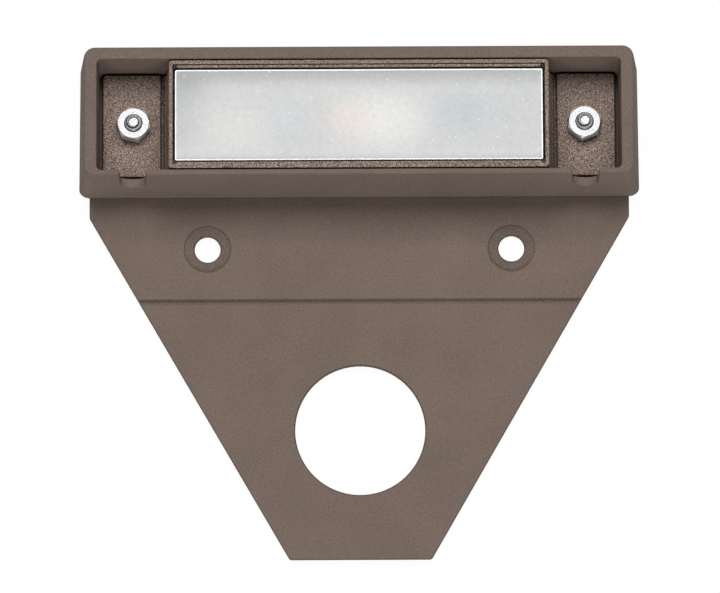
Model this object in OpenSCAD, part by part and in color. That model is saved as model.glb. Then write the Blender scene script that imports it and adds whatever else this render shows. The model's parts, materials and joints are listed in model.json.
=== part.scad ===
// Hardscape light: a cast mounting plate, a leaning cast head and a sealed light module.
// The part lies on its back. +Z is the way the lens and the front of the plate face, and +Y runs
// from the narrow end of the plate to the head. The origin is on the back face, midway between
// the two screw holes. The head leans towards +Y, so that it throws its light outwards.

/* [Mounting plate] */
// Thickness of the plate
plate_t = 2.5; // [2:0.1:3]
// How far each side of the plate lies inside the side of the rim
plate_inset = 1.05; // [0.5:0.05:3]
// Width of the narrow end
tip_w = 33.7; // [28:0.1:42]
// Distance from the screw line to the narrow end
tip_drop = 75; // [68:0.5:90]
// Distance from the screw line up to where the sides begin to taper
taper_rise = 7.6; // [5:0.1:10]
// Distance from the screw line up to the head
head_rise = 12.4; // [11.5:0.1:15]
// Radius of the corners where the taper begins
taper_corner_r = 3; // [1:0.1:4]
// Radius of the corners of the narrow end
tip_corner_r = 0.9; // [0.6:0.1:3]
// Rounding of the plate's front and back edges
plate_edge_r = 0.4; // [0.2:0.05:0.5]
// How far the plate reaches under the head
tongue_l = 6.5; // [6:0.1:7]

/* [Plate holes] */
// Distance between the two screw holes
screw_pitch = 73; // [60:0.5:84]
// Diameter of a screw hole
screw_hole_d = 6.2; // [4:0.1:7]
// Diameter of the shallow ring sunk around a screw hole
screw_ring_d = 11.3; // [9:0.1:13]
// Depth of the sunk ring
screw_ring_depth = 0.5; // [0.2:0.05:0.8]
// Diameter of the wire hole
wire_hole_d = 31.2; // [24:0.1:34]
// Distance from the screw line to the centre of the wire hole
wire_hole_drop = 43.9; // [40:0.1:48]
// Bevel at both ends of every hole through the plate
hole_bevel = 0.35; // [0.1:0.05:0.5]
// Distance from the screw line to the score groove
groove_drop = 12.8; // [11:0.1:15]
// Width of the score groove
groove_w = 1.3; // [0.8:0.1:2]
// Depth of the score groove
groove_depth = 0.6; // [0.3:0.05:0.9]

/* [Head] */
// Length of the rim, from the plate side to the far side
rim_l = 32; // [31.5:0.1:34]
// Angle by which the head leans away from the plate
lean = 8; // [6:0.5:8]
// Slope of the two ends of the head
end_draft = 4.5; // [2:0.5:6]
// Slope of the side that faces the plate
near_draft = 3.5; // [2:0.5:5]
// Slope of the far side
far_draft = 2; // [1:0.5:4]
// Radius of the head's corners
head_corner_r = 2.7; // [1.5:0.1:3.2]
// Rounding of the outer edge of the rim
rim_edge_r = 0.7; // [0.3:0.1:1]

/* [Recess] */
// Length of the pocket at each end of the recess, from the bezel to the end wall
pocket_l = 17.3; // [16:0.1:20]
// Width of the rim face at the two ends
rim_end_w = 3.1; // [2.6:0.1:3.4]
// Width of the rim face along the far side
rim_far_w = 3; // [2.6:0.1:3.2]
// Width of the rim face along the plate side
rim_near_w = 1.35; // [1.2:0.05:1.6]
// Depth of the recess below the rim
recess_depth = 12.8; // [12.2:0.1:13.2]
// Height of the floor of the recess above the back, at the plate side
floor_h = 6.4; // [6:0.1:7]
// Slope of the walls of the recess
recess_draft = 2; // [1:0.25:2]
// Radius of the corners of the recess
recess_corner_r = 1.2; // [0.8:0.1:1.4]
// Width of a nut notch at the rim
notch_mouth_w = 6.6; // [6:0.1:8]
// Width of a nut notch where its rounded floor begins
notch_floor_w = 5.8; // [5:0.1:5.9]
// Depth of a nut notch at its sides
notch_side_depth = 7.7; // [6.5:0.1:8.2]
// Depth of a nut notch in its middle
notch_mid_depth = 9.1; // [8.4:0.1:9.8]

/* [Light module] */
// Thickness of the module's ears and floor
ear_t = 2; // [1.8:0.1:2.2]
// Gap between the end of an ear and the end wall of the recess
ear_end_gap = 0.8; // [0.4:0.1:1.2]
// Gap between an ear and the recess wall at the plate side
ear_near_gap = 1.15; // [0.8:0.05:2]
// Gap between an ear and the recess wall at the far side
ear_far_gap = 0.3; // [0.2:0.05:0.8]
// Rounding of the ears' edges
ear_edge_r = 0.4; // [0.2:0.05:0.6]
// How much wider each end of the block is at the ears than at its top
block_flare = 1.6; // [0.8:0.1:2]
// Width of the groove between the block and each ear
ear_groove_w = 0.9; // [0.6:0.1:1.2]
// Depth of the groove between the block and each ear
ear_groove_depth = 0.9; // [0.5:0.1:1.2]

/* [Bezel and lens] */
// Width of the bezel
bezel_w = 91; // [84:0.1:92]
// Gap between the bezel and the rim on the two long sides
bezel_gap = 0.35; // [0.2:0.05:0.6]
// How far the bezel lies below the rim
bezel_setback = 0.3; // [0:0.05:0.8]
// Thickness of the bezel
bezel_t = 2; // [1.6:0.1:2.2]
// Width of the bezel's two short bars
bezel_end_bar = 0.95; // [0.8:0.05:1.4]
// Width of the bezel's two long bars
bezel_long_bar = 1.65; // [1.4:0.05:2]
// Width of the bevel on the inner edge of the long bars
bezel_bevel = 0.6; // [0.3:0.05:0.8]
// Gap all round the lens
lens_gap = 0.25; // [0.15:0.05:0.3]
// Thickness of the lens
lens_t = 2; // [1.8:0.1:2.4]
// How far the lens lies below the bezel
lens_setback = 0.9; // [0.5:0.05:1.2]
// Bevel on the edges of the lens
lens_bevel = 0.25; // [0.1:0.05:0.4]
// Thickness of the gasket under the lens
gasket_t = 0.5; // [0.4:0.05:0.8]
// Width of the gasket
gasket_w = 1.3; // [0.8:0.1:1.5]

/* [Clamp studs and nuts] */
// Distance from the bezel to the middle of a stud
stud_gap = 8.65; // [8:0.05:10]
// Diameter of a stud
stud_d = 4; // [3:0.1:4.4]
// Length of a stud that stands out of its nut
stud_proud = 1.5; // [0.5:0.1:2]
// Depth of a stud in the floor of the head
stud_seat = 2.9; // [2:0.1:3]
// Width of a nut across its flats
nut_af = 7; // [6:0.1:7.6]
// Height of a nut
nut_h = 3.2; // [2.4:0.1:3.4]

/* [Light source] */
// Distance from the middle of an outer emitter to the end of the bezel's opening
emitter_end_gap = 15.55; // [13:0.05:18]
// Side of an emitter
emitter_side = 3; // [2:0.1:3.5]
// Height of an emitter
emitter_h = 0.7; // [0.5:0.05:0.9]
// Thickness of the circuit board
board_t = 1; // [0.8:0.1:1.2]
// Thickness of the thermal pad
pad_t = 0.3; // [0.2:0.05:0.4]

/* [Hidden] */

// Overrun of every cut, thickness of a layer in a loft, and the clearance of a slip fit
over = 1;
skin = 0.01;
slip = 0.05;
sides = [-1, 1];

// Height of the rim above the back, at the plate side
head_h = floor_h + recess_depth;

// The head's own frame: its foot is where the head's axis through the near rim edge meets the back
joint_h = (plate_t - head_h * tan(near_draft) * sin(lean)) / (cos(lean) - tan(near_draft) * sin(lean));
joint_v = -(head_h - joint_h) * tan(near_draft);
head_foot_y = head_rise - joint_v * cos(lean) - joint_h * sin(lean);
skirt = plate_t;
rim_w = bezel_w + 2 * (pocket_l + rim_end_w);
recess_in = recess_depth * tan(recess_draft);

// Plan of the recess at the rim and at its floor, as left, right, near and far limits
recess_rim = [-rim_w / 2 + rim_end_w, rim_w / 2 - rim_end_w, rim_near_w, rim_l - rim_far_w];
recess_floor = inset(recess_rim, recess_in, recess_in);
mid_v = (recess_rim[2] + recess_rim[3]) / 2;

// The module, from the recess that it sits in
ear_top_h = floor_h + ear_t;
ear_plan = [recess_floor[0] + ear_end_gap, recess_floor[1] - ear_end_gap,
            recess_floor[2] + ear_near_gap, recess_floor[3] - ear_far_gap];
bezel_plan = [-bezel_w / 2, bezel_w / 2, recess_rim[2] + bezel_gap, recess_rim[3] - bezel_gap];
bezel_top_h = head_h - bezel_setback;
bezel_seat_h = bezel_top_h - bezel_t;
bezel_overhang = 0.35;
bezel_opening = inset(bezel_plan, bezel_end_bar, bezel_long_bar);
block_top_plan = inset(bezel_plan, bezel_overhang, bezel_overhang);
block_foot_plan = inset(block_top_plan, -block_flare, 0);
module_corner_r = 0.8;
inner_corner_r = 0.4;

// The lens stack, from the bezel down
lens_plan = inset(bezel_opening, lens_gap, lens_gap);
lens_top_h = bezel_top_h - lens_setback;
lens_low_h = lens_top_h - lens_t;
ledge_h = lens_low_h - gasket_t;
cavity_plan = inset(lens_plan, gasket_w + lens_gap, gasket_w + lens_gap);

// The board stack, from the floor of the module up
pad_top_h = ear_top_h + pad_t;
board_top_h = pad_top_h + board_t;
stack_gap = 0.2;
well_l = 7;
board_plan = [cavity_plan[0] + stack_gap, cavity_plan[1] - well_l,
              cavity_plan[2] + stack_gap, cavity_plan[3] - stack_gap];
pad_margin = 1;
emitters = 3;
emitter_pitch = (bezel_opening[1] - bezel_opening[0] - 2 * emitter_end_gap) / (emitters - 1);
emitter_x = [for (i = [0:emitters - 1]) (i - (emitters - 1) / 2) * emitter_pitch];
phosphor_share = 0.72;
phosphor_h = 0.1;
reflector_plan = inset(cavity_plan, stack_gap, stack_gap);
reflector_top_h = ledge_h - stack_gap;
bowl_wall = 0.7;
bowl_top_r = (reflector_plan[3] - reflector_plan[2]) / 2 - bowl_wall;
bowl_low_share = 0.75;
bowl_low_r = emitter_side * bowl_low_share;
part_room_share = 0.62;

// Driver parts between the emitters: places are shares of the emitter pitch and of the board's width
board_l = board_plan[3] - board_plan[2];
chip_leg_t = 0.2;
chip_leg_l = 0.9;
chip_leg_w = 0.45;
rectifier_size = [4.8, 4, 1.9];
rectifier_legs = 2;
driver_size = [4.9, 3.9, 1.5];
driver_legs = 4;
inductor_side = 6;
inductor_h = 2.3;
part_clearance = 0.3;
part_space = inductor_h + part_clearance;
capacitor_size = [3.2, 2.5, 1.6];
resistor_size = [2, 1.25, 0.5];
end_cap_share = 0.2;
cap_lip_share = 0.05;
coil_rim_share = 0.08;
coil_core_share = 0.5;
terminal_size = [3, 2.4, 1.4];
terminal_bore_share = 0.6;
terminal_v_share = 0.36;
rectifier_shares = [0.36, -0.24];
driver_shares = [0.62, -0.02];
inductor_shares = [-0.36, -0.2];
capacitor_shares = [[-0.64, -0.2], [-0.64, 0], [0.66, -0.28]];
resistor_shares = [[-0.3, 0.1], [-0.4, 0.1], [0.3, 0.02], [0.38, 0.08]];

// Leads leave the module through its floor, a seal and a gland in the floor of the head
lead_x = board_plan[1] + well_l / 2;
lead_hole_d = 5;
potting_gap = 0.3;
potting_h = 2.6;
potting_half_share = 0.3;
gland_hole_d = 7.2;
gland_flange_d = 9.6;
gland_flange_t = 1;
seal_inner_d = 9;
seal_w = 1.1;
seal_depth = 0.8;

// Pockets cored out of the back of the head, between walls that carry the floor
stud_pitch = bezel_w + 2 * stud_gap;
back_wall_t = 1.8;
back_rib_w = 4;
tongue_wall_t = 1.2;
core_near = (head_rise + tongue_l - head_foot_y) / cos(lean) + tongue_wall_t;
core_far = rim_l - back_rib_w;
stud_boss_w = 12;
core_corner_r = 1.5;
stud_bottom_h = floor_h - stud_seat;
core_limits = [-stud_pitch / 2 + stud_boss_w / 2, -stud_pitch / 6, stud_pitch / 6,
               stud_pitch / 2 - stud_boss_w / 2];

// Screws that hold the plate's tongue under the head
tongue_screw_d = 3;
tongue_screw_shares = [-0.36, 0, 0.36];
tongue_row_share = 0.52;
tongue_screw_y = head_rise + tongue_l * tongue_row_share;
tongue_screw_cover = 1.2;
floor_above_screw = floor_h / cos(lean) - (tongue_screw_y - head_foot_y) * tan(lean);
tongue_screw_depth = floor_above_screw - tongue_screw_cover - plate_t;
countersink_d = 5.6;
countersink_depth = 1.2;
drive_d = 1.6;
drive_depth = 0.7;
plate_w = rim_w - 2 * plate_inset;

// Board screws
board_screw_d = 2.5;
board_screw_head_d = 4.4;
board_screw_head_h = 1.5;
board_screw_bite = 1.6;
board_screw_share = 0.27;
board_screw_v = mid_v + board_l * board_screw_share;

// Stud and nut details
stud_x = stud_pitch / 2;
stud_hole_slack = 0.25;
nut_turns = [-14, 21.4];
nut_chamfer = 0.2;
thread_chamfer = 0.9;
round_fn = 64;
corner_fn = 32;
corner_steps = 8;

// A plan grown smaller by dx at its ends and by dv at its long sides
function inset(plan, dx, dv) = [plan[0] + dx, plan[1] - dx, plan[2] + dv, plan[3] - dv];

// Puts its children in the head's own frame: Y along the face of the head and Z out of it
module head_frame() {
    translate([0, head_foot_y, 0]) rotate([-lean, 0, 0]) children();
}

// The four corners of a plan, as thin discs of radius r at height h
module corner_discs(plan, h, r) {
    for (x = [plan[0] + r, plan[1] - r], v = [plan[2] + r, plan[3] - r])
        translate([x, v, h]) cylinder(r = r, h = skin, $fn = corner_fn);
}

// A block whose plan changes from low to high, with round corners
module loft(low, low_h, high, high_h, r) {
    hull() {
        corner_discs(low, low_h, r);
        corner_discs(high, high_h - skin, r);
    }
}

// A straight block with flat sides and round corners: each corner turns a quarter about its centre
module slab(plan, low_h, high_h, r) {
    centres = [[plan[1] - r, plan[3] - r], [plan[0] + r, plan[3] - r],
               [plan[0] + r, plan[2] + r], [plan[1] - r, plan[2] + r]];
    translate([0, 0, low_h]) linear_extrude(height = high_h - low_h)
        polygon([for (corner = [0:3], step = [0:corner_steps])
                 centres[corner] + r * [cos(90 * (corner + step / corner_steps)),
                                        sin(90 * (corner + step / corner_steps))]]);
}

// A ring of radius r with a round edge of radius edge, for the corner of a hull
module soft_corner(r, edge) {
    rotate_extrude($fn = corner_fn) translate([r - edge, 0]) circle(r = edge, $fn = 16);
}

// A plain box from a plan
module box(plan, low_h, high_h) {
    translate([plan[0], plan[2], low_h])
        cube([plan[1] - plan[0], plan[3] - plan[2], high_h - low_h]);
}

// A hole through the plate with a bevel at both ends
module plate_hole(d) {
    translate([0, 0, -over]) cylinder(d = d, h = plate_t + 2 * over, $fn = round_fn);
    translate([0, 0, -over])
        cylinder(d1 = d + 2 * (hole_bevel + over), d2 = d, h = hole_bevel + over, $fn = round_fn);
}

// A bevel round the mouth of a hole whose mouth is at height h
module mouth_bevel(d, h) {
    translate([0, 0, h - hole_bevel])
        cylinder(d1 = d, d2 = d + 2 * (hole_bevel + over), h = hole_bevel + over, $fn = round_fn);
}

// The plate: its outline is the hull of six soft corners
module mounting_plate() {
    corners = [[plate_w / 2, head_rise + tongue_l, tip_corner_r],
               [plate_w / 2, taper_rise, taper_corner_r],
               [tip_w / 2, -tip_drop, tip_corner_r]];
    color("#75675f") difference() {
        hull() for (c = corners, s = sides, h = [plate_edge_r, plate_t - plate_edge_r])
            translate([s * (c[0] - c[2]), c[1] + (c[1] < taper_rise ? c[2] : -c[2]), h])
                soft_corner(c[2], plate_edge_r);
        for (s = sides) translate([s * screw_pitch / 2, 0, 0]) {
            plate_hole(screw_hole_d);
            mouth_bevel(screw_hole_d, plate_t - screw_ring_depth);
            translate([0, 0, plate_t - screw_ring_depth])
                cylinder(d = screw_ring_d, h = screw_ring_depth + over, $fn = round_fn);
        }
        translate([0, -wire_hole_drop, 0]) {
            plate_hole(wire_hole_d);
            mouth_bevel(wire_hole_d, plate_t);
        }
        score_groove();
        for (share = tongue_screw_shares) translate([share * plate_w, tongue_screw_y, 0]) {
            translate([0, 0, -over])
                cylinder(d = tongue_screw_d + 4 * slip, h = plate_t + 2 * over, $fn = round_fn);
            cylinder(d1 = countersink_d, d2 = tongue_screw_d + 4 * slip, h = countersink_depth,
                     $fn = round_fn);
        }
    }
}

// A V groove across the front of the plate, where its narrow part can be snapped off
module score_groove() {
    translate([-plate_w / 2 - over, -groove_drop, plate_t]) rotate([90, 0, 90])
        linear_extrude(height = plate_w + 2 * over)
            polygon([[-groove_w / 2, 0], [0, -groove_depth], [groove_w / 2, 0],
                     [groove_w / 2, over], [-groove_w / 2, over]]);
}

// Outer form of the head: soft corners at the rim, and a wider foot that the back plane cuts off
module head_form() {
    foot_drop = head_h + skirt;
    foot = [-rim_w / 2 - foot_drop * tan(end_draft), rim_w / 2 + foot_drop * tan(end_draft),
            -foot_drop * tan(near_draft), rim_l + foot_drop * tan(far_draft)];
    hull() {
        corner_discs(foot, -skirt, head_corner_r);
        for (s = sides, v = [head_corner_r, rim_l - head_corner_r])
            translate([s * (rim_w / 2 - head_corner_r), v, head_h - rim_edge_r])
                soft_corner(head_corner_r, rim_edge_r);
    }
}

// Side view of a nut notch: straight tapering sides and a floor that is an arc
module notch_profile() {
    sag = notch_mid_depth - notch_side_depth;
    half = notch_floor_w / 2;
    arc_r = (half * half + sag * sag) / (2 * sag);
    polygon([[-notch_mouth_w / 2, head_h + over], [-notch_mouth_w / 2, head_h],
             [-half, head_h - notch_side_depth], [half, head_h - notch_side_depth],
             [notch_mouth_w / 2, head_h], [notch_mouth_w / 2, head_h + over]]);
    intersection() {
        translate([0, head_h - notch_mid_depth + arc_r]) circle(r = arc_r, $fn = round_fn);
        translate([-half, head_h - notch_mid_depth]) square([notch_floor_w, sag + skin]);
    }
}

// The head: a drafted casting with a recess, two notches, a cored back and a seat for the plate
module head_housing() {
    color("#756760") difference() {
        head_frame() difference() {
            head_form();
            loft(recess_floor, floor_h, inset(recess_rim, -over * tan(recess_draft),
                 -over * tan(recess_draft)), head_h + over, recess_corner_r);
            for (s = sides) translate([s * stud_x, 0, 0]) {
                translate([0, recess_rim[2] + ear_near_gap, 0]) rotate([90, 0, 0])
                    linear_extrude(height = rim_near_w + ear_near_gap + head_h * tan(near_draft) + over)
                        notch_profile();
                translate([0, mid_v, stud_bottom_h])
                    cylinder(d = stud_d + 2 * slip, h = stud_seat + over, $fn = round_fn);
            }
            for (i = [0:2])
                slab([core_limits[i] + back_rib_w / 2, core_limits[i + 1] - back_rib_w / 2,
                      core_near, core_far], -skirt - over, floor_h - back_wall_t, core_corner_r);
            translate([lead_x, mid_v, 0]) {
                cylinder(d = gland_hole_d, h = floor_h + over, $fn = round_fn);
                translate([0, 0, floor_h - seal_depth]) difference() {
                    cylinder(d = seal_inner_d + 2 * seal_w + 2 * slip, h = seal_depth + over,
                             $fn = round_fn);
                    cylinder(d = seal_inner_d - 2 * slip, h = seal_depth + over, $fn = round_fn);
                }
            }
        }
        translate([-rim_w, -rim_l, -head_h]) cube([2 * rim_w, 4 * rim_l, head_h]);
        translate([-plate_w / 2 - slip, 0, -over])
            cube([plate_w + 2 * slip, head_rise + tongue_l + slip, plate_t + over]);
        for (share = tongue_screw_shares) translate([share * plate_w, tongue_screw_y, 0])
            cylinder(d = tongue_screw_d + 2 * slip, h = plate_t + tongue_screw_depth + slip,
                     $fn = round_fn);
    }
}

// Countersunk screws, with their heads just under the back of the plate
module plate_screws() {
    color("#b9b8b4") for (share = tongue_screw_shares)
        translate([share * plate_w, tongue_screw_y, slip]) difference() {
            union() {
                cylinder(d1 = countersink_d - 2 * slip, d2 = tongue_screw_d,
                         h = countersink_depth, $fn = round_fn);
                cylinder(d = tongue_screw_d, h = plate_t + tongue_screw_depth - slip,
                         $fn = round_fn);
            }
            translate([0, 0, -over]) cylinder(d = drive_d, h = drive_depth + over, $fn = 6);
        }
}

// The module's casting: a floor with two ears, and a block that holds the light source and lens
module module_base() {
    color("#7d6f66") head_frame() difference() {
        union() {
            hull() for (x = [ear_plan[0] + module_corner_r, ear_plan[1] - module_corner_r],
                        v = [ear_plan[2] + module_corner_r, ear_plan[3] - module_corner_r]) {
                translate([x, v, ear_top_h - ear_edge_r]) soft_corner(module_corner_r, ear_edge_r);
                translate([x, v, floor_h]) cylinder(r = module_corner_r, h = skin, $fn = corner_fn);
            }
            loft(block_foot_plan, floor_h, block_top_plan, bezel_seat_h, module_corner_r);
        }
        for (s = sides) {
            translate([s * (block_foot_plan[1] + ear_groove_w / 2) - ear_groove_w / 2,
                       ear_plan[2] - over, ear_top_h - ear_groove_depth])
                cube([ear_groove_w, ear_plan[3] - ear_plan[2] + 2 * over, ear_groove_depth + over]);
            translate([s * stud_x, mid_v, floor_h - over])
                cylinder(d = stud_d + 2 * stud_hole_slack, h = ear_t + 2 * over, $fn = round_fn);
            translate([s * emitter_pitch / 2, board_screw_v, floor_h - over])
                cylinder(d = board_screw_d + 2 * slip, h = ear_t + 2 * over, $fn = round_fn);
        }
        slab(inset(lens_plan, -lens_gap, -lens_gap), ledge_h, bezel_seat_h + over, inner_corner_r);
        slab(cavity_plan, ear_top_h, bezel_seat_h + over, module_corner_r);
        translate([lead_x, mid_v, floor_h - over])
            cylinder(d = lead_hole_d, h = ear_t + 2 * over, $fn = round_fn);
    }
}

// The bezel: a thin frame with a bevel on the inner edge of its long bars
module bezel_frame() {
    color("#84766b") head_frame() difference() {
        hull() for (x = [bezel_plan[0] + module_corner_r, bezel_plan[1] - module_corner_r],
                    v = [bezel_plan[2] + module_corner_r, bezel_plan[3] - module_corner_r]) {
            translate([x, v, bezel_top_h - plate_edge_r]) soft_corner(module_corner_r, plate_edge_r);
            translate([x, v, bezel_seat_h]) cylinder(r = module_corner_r, h = skin, $fn = corner_fn);
        }
        slab(bezel_opening, bezel_seat_h - over, bezel_top_h + over, inner_corner_r);
        for (edge = [[bezel_opening[2], 1], [bezel_opening[3], -1]])
            translate([bezel_opening[0], edge[0], bezel_top_h]) rotate([90, 0, 90])
                linear_extrude(height = bezel_opening[1] - bezel_opening[0])
                    polygon([[edge[1] * -bezel_bevel, skin], [edge[1] * -bezel_bevel, 0],
                             [0, -lens_setback], [edge[1] * bezel_bevel, -lens_setback],
                             [edge[1] * bezel_bevel, skin]]);
    }
}

// The lens: a plate of frosted glass with bevelled edges
module lens() {
    bevelled = inset(lens_plan, lens_bevel, lens_bevel);
    color("#dfe2e1") head_frame() {
        loft(lens_plan, lens_low_h, lens_plan, lens_top_h - lens_bevel, inner_corner_r);
        loft(lens_plan, lens_top_h - lens_bevel - skin, bevelled, lens_top_h,
             inner_corner_r);
    }
}

// The gasket that the lens is bedded on
module lens_gasket() {
    color("#26282a") head_frame() difference() {
        slab(lens_plan, ledge_h, lens_low_h, inner_corner_r);
        slab(inset(lens_plan, gasket_w, gasket_w), ledge_h - over, lens_low_h + over, inner_corner_r);
    }
}

// The reflector: a white moulding with one bowl for each emitter and room below for the driver
module reflector() {
    color("#f4f4f0") head_frame() difference() {
        slab(reflector_plan, board_top_h, reflector_top_h, module_corner_r);
        for (x = emitter_x) translate([x, mid_v, board_top_h - over])
            cylinder(r = bowl_low_r, h = emitter_h + over + skin, $fn = round_fn);
        for (x = emitter_x) translate([x, mid_v, board_top_h + emitter_h])
            cylinder(r1 = bowl_low_r, r2 = bowl_top_r, h = reflector_top_h - board_top_h - emitter_h,
                     $fn = round_fn);
        for (s = sides) translate([s * emitter_pitch / 2, mid_v, board_top_h + part_space / 2])
            cube([part_room_share * emitter_pitch,
                  reflector_plan[3] - reflector_plan[2] - 2 * bowl_wall, part_space], center = true);
        box([board_plan[1] - stack_gap, reflector_plan[1] + over, reflector_plan[2] - over,
             reflector_plan[3] + over], board_top_h - over, ear_top_h + potting_h + stack_gap);
    }
}

// The circuit board, with its screw holes
module led_board() {
    color("#e9eae6") head_frame() difference() {
        slab(board_plan, pad_top_h, board_top_h, module_corner_r);
        for (s = sides) translate([s * emitter_pitch / 2, board_screw_v, pad_top_h - over])
            cylinder(d = board_screw_d + 4 * slip, h = board_t + 2 * over, $fn = round_fn);
    }
}

// The emitters: square packages with a round window of phosphor
module led_emitters() {
    for (x = emitter_x) head_frame() translate([x, mid_v, board_top_h]) {
        color("#f1efe6") translate([-emitter_side / 2, -emitter_side / 2, 0])
            cube([emitter_side, emitter_side, emitter_h]);
        color("#e9b65c") translate([0, 0, emitter_h - skin])
            cylinder(d = emitter_side * phosphor_share, h = phosphor_h + skin, $fn = corner_fn);
    }
}

// A chip on bent legs: size is its body, and legs stand along both long sides
module chip(size, legs) {
    leg_gap = size[0] / legs;
    translate([-size[0] / 2, -size[1] / 2, chip_leg_t / 2])
        cube([size[0], size[1], size[2] - chip_leg_t / 2]);
    for (i = [0:legs - 1], s = sides)
        translate([(i - (legs - 1) / 2) * leg_gap - chip_leg_w / 2,
                   s * (size[1] / 2 + chip_leg_l / 2) - chip_leg_l / 2 - s * skin, 0])
            cube([chip_leg_w, chip_leg_l, chip_leg_t]);
}

// Puts its children on the board, at shares of the emitter pitch and of the board's width
module on_board(shares) {
    head_frame() translate([shares[0] * emitter_pitch, mid_v + shares[1] * board_l, board_top_h])
        children();
}

// The bridge rectifier
module rectifier() {
    color("#232425") on_board(rectifier_shares) chip(rectifier_size, rectifier_legs);
}

// The driver chip
module driver_chip() {
    color("#1f2022") on_board(driver_shares) chip(driver_size, driver_legs);
}

// The inductor: a square block with a round coil in its top
module power_inductor() {
    rim = inductor_side * coil_rim_share;
    color("#3a3a3c") on_board(inductor_shares) difference() {
        translate([-inductor_side / 2, -inductor_side / 2, 0])
            cube([inductor_side, inductor_side, inductor_h]);
        translate([0, 0, inductor_h - rim]) difference() {
            cylinder(d = inductor_side - 2 * rim, h = rim + over, $fn = round_fn);
            cylinder(d = inductor_side * coil_core_share, h = rim + over, $fn = round_fn);
        }
    }
}

// A small part with a metal cap on each end
module capped_part(size) {
    cap = size[0] * end_cap_share;
    lip = size[2] * cap_lip_share;
    translate([-size[0] / 2, -size[1] / 2 + lip, lip])
        cube([size[0], size[1] - 2 * lip, size[2] - 2 * lip]);
    for (s = sides) translate([s * (size[0] / 2 - cap / 2) - cap / 2, -size[1] / 2, 0])
        cube([cap, size[1], size[2]]);
}

// The capacitors
module capacitors() {
    color("#b99a6b") for (shares = capacitor_shares) on_board(shares) capped_part(capacitor_size);
}

// The resistors
module resistors() {
    color("#2c2d30") for (shares = resistor_shares)
        on_board(shares) rotate([0, 0, 90]) capped_part(resistor_size);
}

// Two terminals at the end of the board, where the leads are soldered
module lead_terminals() {
    color("#cfcac0") for (s = sides) head_frame()
        translate([board_plan[1] - terminal_size[0],
                   mid_v + s * board_l * terminal_v_share - terminal_size[1] / 2,
                   board_top_h]) difference() {
            cube(terminal_size);
            translate([-over, terminal_size[1] / 2, terminal_size[2] / 2]) rotate([0, 90, 0])
                cylinder(d = terminal_size[2] * terminal_bore_share, h = terminal_size[0] + 2 * over,
                         $fn = corner_fn);
        }
}

// The pad that carries heat from the board to the casting
module thermal_pad() {
    color("#9aa7b5") head_frame() difference() {
        slab(inset(board_plan, pad_margin, pad_margin), ear_top_h, pad_top_h, module_corner_r);
        for (s = sides) translate([s * emitter_pitch / 2, board_screw_v, ear_top_h - over])
            cylinder(d = board_screw_head_d, h = pad_t + 2 * over, $fn = round_fn);
    }
}

// The screws that clamp the board
module board_screws() {
    color("#c9c8c4") for (s = sides) head_frame()
        translate([s * emitter_pitch / 2, board_screw_v, board_top_h]) {
            difference() {
                cylinder(d = board_screw_head_d, h = board_screw_head_h, $fn = round_fn);
                translate([0, 0, board_screw_head_h / 2])
                    cylinder(d = drive_d, h = board_screw_head_h, $fn = 6);
            }
            translate([0, 0, -board_t - pad_t - board_screw_bite])
                cylinder(d = board_screw_d, h = board_t + pad_t + board_screw_bite + skin,
                         $fn = round_fn);
        }
}

// Resin that seals the leads into the floor of the module
module potting_plug() {
    color("#2b2b2b") head_frame()
        slab([board_plan[1] + potting_gap, cavity_plan[1] - potting_gap,
              mid_v - board_l * potting_half_share, mid_v + board_l * potting_half_share],
             ear_top_h, ear_top_h + potting_h,
             inner_corner_r);
}

// The ring between the module and the head, round the lead hole
module floor_seal() {
    color("#303234") head_frame() translate([lead_x, mid_v, floor_h - seal_depth]) difference() {
        cylinder(d = seal_inner_d + 2 * seal_w, h = seal_depth, $fn = round_fn);
        translate([0, 0, -over]) cylinder(d = seal_inner_d, h = seal_depth + 2 * over, $fn = round_fn);
    }
}

// The rubber gland in the floor of the head
module lead_gland() {
    gland_low_h = floor_h - back_wall_t - gland_flange_t;
    color("#1d1e1f") head_frame() translate([lead_x, mid_v, gland_low_h]) difference() {
        union() {
            cylinder(d = gland_flange_d, h = gland_flange_t, $fn = round_fn);
            cylinder(d = gland_hole_d, h = gland_flange_t + back_wall_t, $fn = round_fn);
        }
        translate([0, 0, -over])
            cylinder(d = lead_hole_d, h = gland_flange_t + back_wall_t + 2 * over, $fn = round_fn);
    }
}

// The studs that stand in the floor of the head
module clamp_studs() {
    stud_l = stud_seat + ear_t + nut_h + stud_proud;
    color("#c3c4c4") for (s = sides) head_frame() translate([s * stud_x, mid_v, stud_bottom_h]) {
        cylinder(d = stud_d, h = stud_l - thread_chamfer, $fn = round_fn);
        translate([0, 0, stud_l - thread_chamfer])
            cylinder(d1 = stud_d, d2 = stud_d - 2 * thread_chamfer, h = thread_chamfer,
                     $fn = round_fn);
    }
}

// A hexagonal nut with both faces chamfered round
module hex_nut() {
    corner_d = nut_af / cos(30);
    difference() {
        intersection() {
            cylinder(d = corner_d, h = nut_h, $fn = 6);
            cylinder(d1 = nut_af - slip, d2 = nut_af - slip + 4 * nut_h, h = nut_h, $fn = round_fn);
            cylinder(d1 = nut_af - slip + 4 * nut_h, d2 = nut_af - slip, h = nut_h, $fn = round_fn);
        }
        translate([0, 0, -over]) cylinder(d = stud_d + 2 * slip, h = nut_h + 2 * over, $fn = round_fn);
        translate([0, 0, nut_h - nut_chamfer])
            cylinder(d1 = stud_d + 2 * slip, d2 = stud_d + 2 * slip + 2 * nut_chamfer + 2 * over,
                     h = nut_chamfer + over, $fn = round_fn);
    }
}

// The nuts that clamp the ears, each turned as it stopped
module clamp_nuts() {
    color("#d3d4d4") for (i = [0:1]) head_frame()
        translate([sides[i] * stud_x, mid_v, ear_top_h]) rotate([0, 0, nut_turns[i]]) hex_nut();
}

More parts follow.
